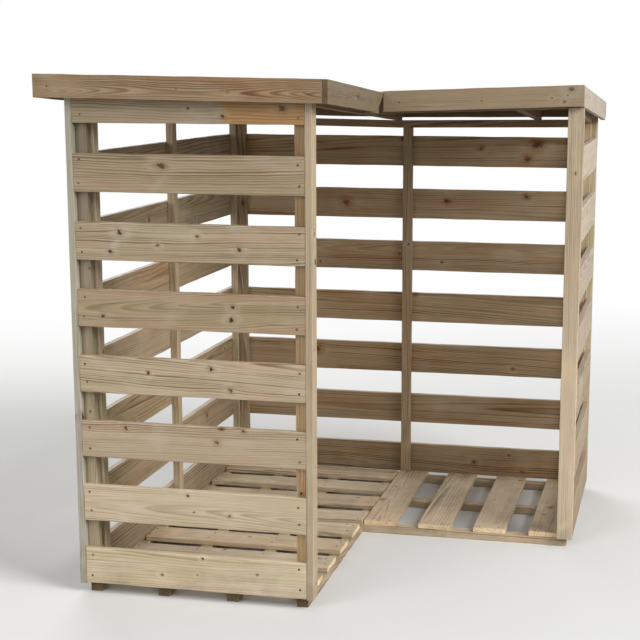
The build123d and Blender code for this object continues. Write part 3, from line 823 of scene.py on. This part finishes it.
def nailSpots(boards, supports, pair, rng):
    # on each board, over the middle of each support that it crosses: two nails a share of the width apart
    spots, outs = [], []
    boxes = [tuple(np.array(corner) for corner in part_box(support)) for support in supports]
    for board in boards:
        for block in solidCorners(board):
            low, high = block.min(axis=(0, 1, 2)), block.max(axis=(0, 1, 2))
            line = endToEnd(block)
            length = np.linalg.norm(line)
            axis = int(np.abs(line).argmax())
            for near, far in boxes:
                start, stop = np.maximum(low, near - nails["touch"]), np.minimum(high, far + nails["touch"])
                if (stop - start).min() <= 0 or stop[axis] - start[axis] < nails["leastOverlap"]:
                    continue
                share = ((start[axis] + stop[axis]) / 2 - block[0, ..., axis].mean()) / line[axis]
                face, out = faceAway(block, (near + far) / 2)
                for across in (0.5 - pair / 2, 0.5 + pair / 2):
                    a = share + rng.uniform(-1, 1) * nails["jitter"] / length
                    b = across + rng.uniform(-nails["sideways"], nails["sideways"])
                    spots.append(blend(block, a, b, face))
                    outs.append(out)
    return np.array(spots), np.array(outs)


def rowSpots(boards, gap, rng):
    # a row of nails along the middle of each board's outer face, gap apart, the first and last near its ends
    spots, outs = [], []
    middle = np.array(cadBox).mean(axis=0)
    for board in boards:
        for block in solidCorners(board):
            length = np.linalg.norm(endToEnd(block))
            face, out = faceAway(block, middle)
            count = max(2, round(length / gap) + 1)
            for share in np.linspace(nails["inset"] / length, 1 - nails["inset"] / length, count):
                a = share + rng.uniform(-1, 1) * nails["jitter"] / length
                spots.append(blend(block, a, rng.uniform(*nails["row"]), face))
                outs.append(out)
    return np.array(spots), np.array(outs)


nailed = {  # the boards, and the supports that they are nailed to
    "leftEndNails": (["left_end_slats"], ["left_end_upright_left", "left_end_upright_right"]),
    "leftSideNails": (["left_side_slats"], ["left_side_upright_front", "left_side_upright_middle",
                                           "left_side_upright_back"]),
    "backNails": (["back_slats"], ["back_upright_left", "back_upright_middle", "back_upright_right"]),
    "rightEndNails": (["right_end_slats"], ["right_end_upright_front", "right_end_upright_back"]),
    "leftFloorNails": (["left_floor_boards"], [f"left_floor_bearer_{k}" for k in (1, 2, 3, 4)]),
    "rightFloorNails": (["right_floor_boards"], [f"right_floor_bearer_{k}" for k in (1, 2, 3)]),
    "roofNails": (roofNodes, ["left_rafter", "middle_rafter", "extra_rafter", "right_rafter"]),
}
for name, (boards, supports) in nailed.items():
    rng = ownRandom(name)
    pair = nails["slatPair"] if boards[0].endswith("slats") else nails["boardPair"]
    nailHeads(name, *nailSpots(boards, supports, pair, rng), rng)
nailRows = {"fasciaNails": (fasciaGrain, nails["fasciaGap"]), "battenNails": (battenTones, nails["battenGap"])}
for name, (boards, gap) in nailRows.items():
    rng = ownRandom(name)
    nailHeads(name, *rowSpots(boards, gap, rng), rng)

# floor, light and camera

studio = {
    "floor": (0.74, 0.74, 0.73, 1.0), "bounce": (0.46, 0.45, 0.43, 1.0), "reach": 30.0,
    "fadeStart": 1.0, "fadeEnd": 5.0, "white": (1, 1, 1, 1), "ambient": 0.25, "aim": (0, 0, 0.6), "lampSize": 4.0,
    "lamps": {"keyLamp": ((5.2, -2.3, 3.8), 465), "fillLamp": ((-2.6, -5.0, 2.6), 132),
              "backLamp": ((-2.5, 4.6, 3.6), 180)},
}


def studioFloor():
    # a flat square; seen from the camera it fades to white with the distance from the object
    spots = studio["reach"] * np.array([[-1, -1, 0], [1, -1, 0], [1, 1, 0], [-1, 1, 0]], float)
    made = newObject("studioFloor", spots, [[0, 1, 2, 3]])
    material = bpy.data.materials.new("studioFloor")
    g = Graph(material)
    looked = g.node("ShaderNodeLightPath", out="Is Camera Ray")
    lit = g.node("ShaderNodeBsdfDiffuse", {}, {"Color": g.mix(looked, studio["bounce"], studio["floor"])})
    white = g.node("ShaderNodeEmission", {}, {"Color": studio["white"], "Strength": 1.0})
    x, y = g.parts(g.node("ShaderNodeTexCoord", out="Object"))[:2]
    away = (x * x + y * y).math("SQRT").smooth(studio["fadeStart"], studio["fadeEnd"])
    shown = g.node("ShaderNodeMixShader", {}, {0: away * looked, 1: lit, 2: white})
    g.surface(shown)
    made.data.materials.append(material)


def studioWorld():
    # white behind the object for the camera and in reflections, and a plain level of light for the rest
    scene.world = bpy.data.worlds.new("studio")
    g = Graph(scene.world)
    rays = [g.node("ShaderNodeLightPath", out=f"Is {kind} Ray") for kind in ("Camera", "Transmission", "Glossy")]
    every = rays[0].math("MAXIMUM", rays[1]).math("MAXIMUM", rays[2])
    level = g.node("ShaderNodeMapRange", {}, {"Value": every, "To Min": studio["ambient"], "To Max": 1.0})
    sky = g.node("ShaderNodeBackground", {}, {"Color": studio["white"], "Strength": level})
    g.node("ShaderNodeOutputWorld", {}, {"Surface": sky})


def addLamp(name, place, power):
    # a round lamp whose back axis runs from the point aimed at to its own place
    lamp = bpy.data.lights.new(name, "AREA")
    lamp.shape = "DISK"
    lamp.size = studio["lampSize"]
    lamp.energy = power
    made = bpy.data.objects.new(name, lamp)
    scene.collection.objects.link(made)
    made.location = place
    made.rotation_euler = (Vector(studio["aim"]) - Vector(place)).to_track_quat("-Z", "Y").to_euler()


studioFloor()
studioWorld()
for name, (place, power) in studio["lamps"].items():
    addLamp(name, place, power)

shot = {  # the camera that was fitted to the slat, post and rail corners of the picture
    "place": (0.89668, -3.99328, 1.32795), "yaw": -0.212, "pitch": 0.184, "roll": -0.003,
    "focal": 1450.2, "centre": (368.0, 345.0), "frame": 640.0, "sensor": 36.0, "clipEnd": 100.0,
}


def placeCamera():
    # the view direction from yaw and pitch, then the upright and sideways axes turned round it by the roll
    data = bpy.data.cameras.new("camera")
    made = bpy.data.objects.new("camera", data)
    scene.collection.objects.link(made)
    yaw, pitch, roll = shot["yaw"], shot["pitch"], shot["roll"]
    ahead = Vector((math.sin(yaw) * math.cos(pitch), math.cos(yaw) * math.cos(pitch), -math.sin(pitch)))
    right = Vector((math.cos(yaw), -math.sin(yaw), 0.0))
    down = ahead.cross(right)
    rightRolled = math.cos(roll) * right + math.sin(roll) * down
    up = math.sin(roll) * right - math.cos(roll) * down
    turn = Matrix((rightRolled, up, -ahead)).transposed()
    made.matrix_world = Matrix.Translation(shot["place"]) @ turn.to_4x4()
    data.sensor_width = shot["sensor"]
    data.lens = shot["focal"] * shot["sensor"] / shot["frame"]
    data.shift_x = (shot["frame"] / 2 - shot["centre"][0]) / shot["frame"]
    data.shift_y = (shot["centre"][1] - shot["frame"] / 2) / shot["frame"]
    data.clip_end = shot["clipEnd"]
    scene.camera = made


placeCamera()
scene.view_settings.view_transform = "Standard"
print("scene ready")
